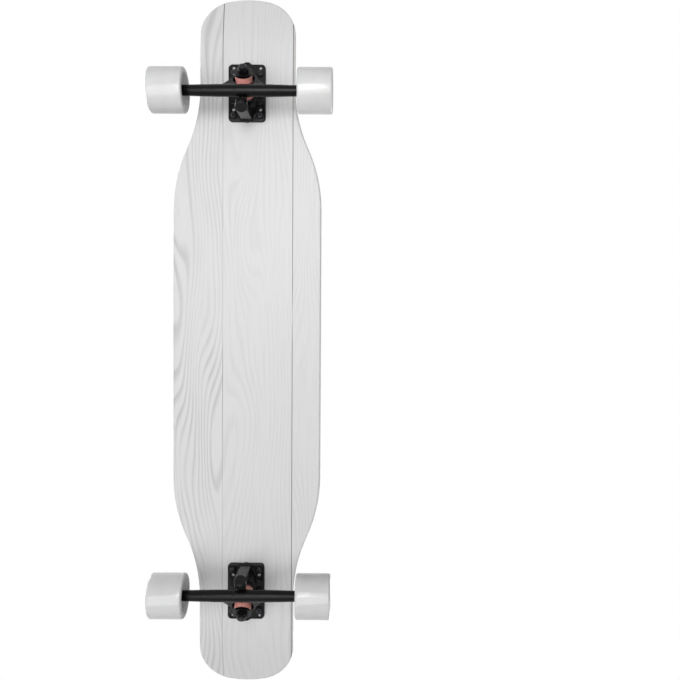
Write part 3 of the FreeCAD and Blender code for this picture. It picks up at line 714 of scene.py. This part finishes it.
def makeWheel(end, side):
    # the groove runs round the dished outer face, a little outside its middle
    spec = wheelSet
    middle = (spec["outerDish"] + spec["core"]) / 2 + spec["grooveShift"]
    slope = (spec["outer"] - spec["coreEnd"]) / (spec["outerDish"] - spec["core"])
    level = spec["coreEnd"] + (middle - spec["core"]) * slope
    groove, soft = spec["groove"], spec["grooveRounding"]
    bm = lathe([(spec["core"], spec["coreStart"], spec["coreRounding"]),
                (spec["innerDish"], spec["inner"], spec["dishRounding"]),
                (spec["radius"], spec["inner"], spec["lip"]), (spec["radius"], spec["outer"], spec["lip"]),
                (spec["outerDish"], spec["outer"], spec["dishRounding"]),
                (middle + groove, level + groove * slope, soft), (middle, level - groove, soft),
                (middle - groove, level - groove * slope, soft),
                (spec["core"], spec["coreEnd"], spec["coreRounding"])], spec["steps"])
    bm.transform(axleFrame(end, side))
    name = end + "_" + side
    makePiece(end + side.capitalize() + "Wheel", bm, [whiteUrethane], name + "_wheel_set",
              [name + "_wheel"])


for end in ends:
    for side in sides:
        makeWheel(end, side)
print("wheels made")


# pieces that keep their CAD shape

wheelDress = {"wheel_core": coreNylon, "bearing_outer_races": groundSteel,
              "bearing_inner_races": groundSteel, "bearing_balls": groundSteel,
              "bearing_shields": shieldSteel, "bearing_spacer": zincPlate}
truckDress = {"deck_bolts": blackOxide, "kingpin": blackOxide, "boardside_washer": blackOxide,
              "roadside_washer": blackOxide, "axle": zincPlate, "speed_washers": zincPlate,
              "pivot_cup": coralUrethane}

for end in ends:
    for name, material in truckDress.items():
        dress(end + "_" + name, material)
    for side in sides:
        for name, material in wheelDress.items():
            dress(end + "_" + side + "_" + name, material)
print("small pieces dressed")


# floor, light and camera

floorSet = {"size": 16.0, "drop": 0.3, "near": 0.6, "far": 1.9, "glow": 0.45, "color": "#F2F2F2"}


def makeFloor():
    # a pale floor seen from above only, that fades to the white background far away
    bm = bmesh.new()
    bmesh.ops.create_grid(bm, x_segments=1, y_segments=1, size=floorSet["size"] / 2)
    bmesh.ops.translate(bm, vec=(0, 0, -floorSet["drop"] * mm), verts=bm.verts[:])
    mesh = bpy.data.meshes.new("floor")
    bm.to_mesh(mesh)
    bm.free()
    floor = bpy.data.objects.new("floor", mesh)
    scene.collection.objects.link(floor)
    material, tree, shader, place = newMaterial("paleFloor", {
        "Base Color": linear(floorSet["color"]), "Roughness": 0.8, "Specular IOR Level": 0.1})
    mesh.materials.append(material)
    far = add(tree, "VectorMath", {0: place}, operation="LENGTH")
    fade = add(tree, "MapRange", {"Value": far.outputs["Value"], "From Min": floorSet["near"],
                                  "From Max": floorSet["far"], "To Min": floorSet["glow"], "To Max": 1.0},
               interpolation_type="SMOOTHSTEP")
    white = add(tree, "Emission", {"Color": (1, 1, 1, 1), "Strength": 1.0})
    top = add(tree, "MixShader", {0: fade.outputs[0], 1: shader.outputs[0], 2: white.outputs[0]})
    clear = add(tree, "BsdfTransparent")
    back = add(tree, "NewGeometry").outputs["Backfacing"]
    shown = add(tree, "MixShader", {0: back, 1: top.outputs[0], 2: clear.outputs[0]})
    tree.links.new(shown.outputs[0], tree.nodes["Material Output"].inputs["Surface"])
    floor.visible_diffuse = False
    floor.visible_glossy = False
    floor.visible_transmission = False
    floor.visible_shadow = False


worldSet = {"fill": 0.2}


def makeWorld():
    # white where it is seen or mirrored, and a dim fill light
    world = bpy.data.worlds.new("studio")
    scene.world = world
    world.use_nodes = True
    tree = world.node_tree
    path = add(tree, "LightPath")
    seen = add(tree, "Math", {0: path.outputs["Is Camera Ray"], 1: path.outputs["Is Glossy Ray"]},
               operation="MAXIMUM")
    seen = add(tree, "Math", {0: seen.outputs[0], 1: path.outputs["Is Transmission Ray"]},
               operation="MAXIMUM")
    level = add(tree, "Math", {0: seen.outputs[0], 1: worldSet["fill"]}, operation="MAXIMUM")
    back = tree.nodes["Background"]
    back.inputs["Color"].default_value = (1, 1, 1, 1)
    tree.links.new(level.outputs[0], back.inputs["Strength"])


# places and sizes in metres, power in watts; a spread narrows a lamp's beam, in degrees
lampSets = [
    {"name": "underField", "place": (-0.7, 0.4, -2.5), "aim": (0, 0, 0), "size": (2.0, 3.0), "power": 46},
    {"name": "underSoftbox", "place": (-0.11, -0.33, -1.2), "aim": (-0.11, -0.33, 0),
     "size": (0.25, 0.68), "power": 2.2},
    {"name": "underStrip", "place": (0.09, -0.45, -1.2), "aim": (0.09, -0.45, 0), "size": (0.2, 0.5),
     "power": 0.15, "spread": 50},
    {"name": "underNose", "place": (0.2, -0.9, -2.4), "aim": (0, -0.4, 0.1), "size": (1.0, 1.0),
     "power": 6},
    {"name": "overNose", "place": (-2.4, -1.2, 2.0), "aim": (0, 0, 0.1), "size": (1.4, 1.4), "power": 60},
    {"name": "overTail", "place": (1.4, 1.5, 1.8), "aim": (0, 0, 0.1), "size": (1.6, 1.6), "power": 30},
]


def makeLamps():
    for spec in lampSets:
        light = bpy.data.lights.new(spec["name"], "AREA")
        light.shape = "RECTANGLE"
        light.size, light.size_y = spec["size"]
        light.energy = spec["power"]
        light.spread = math.radians(spec.get("spread", 180))
        lamp = bpy.data.objects.new(spec["name"], light)
        lamp.location = spec["place"]
        beam = Vector(spec["aim"]) - Vector(spec["place"])
        lamp.rotation_euler = beam.to_track_quat("-Z", "Y").to_euler()
        lamp.visible_camera = False
        scene.collection.objects.link(lamp)


cameraSet = {"across": 144.1, "along": -32.8, "away": 1067.0, "pitch": -1.37, "roll": 0.31,
             "lens": 36.5, "sensor": 36.0, "clip": 10.0}


def makeCamera():
    # below the board and looking up, with the nose at the top of the picture
    lens = bpy.data.cameras.new("photoCamera")
    lens.sensor_width = cameraSet["sensor"]
    lens.lens = cameraSet["lens"]
    lens.clip_start = cameraSet["clip"] * mm
    camera = bpy.data.objects.new("photoCamera", lens)
    camera.location = Vector((cameraSet["across"], cameraSet["along"], underside - cameraSet["away"])) * mm
    tilt = Matrix.Rotation(math.pi + math.radians(cameraSet["pitch"]), 4, "X")
    camera.rotation_euler = (tilt @ Matrix.Rotation(math.radians(cameraSet["roll"]), 4, "Z")).to_euler()
    scene.collection.objects.link(camera)
    scene.camera = camera


makeFloor()
makeWorld()
makeLamps()
makeCamera()
scene.view_settings.view_transform = "Standard"
print("stage set")
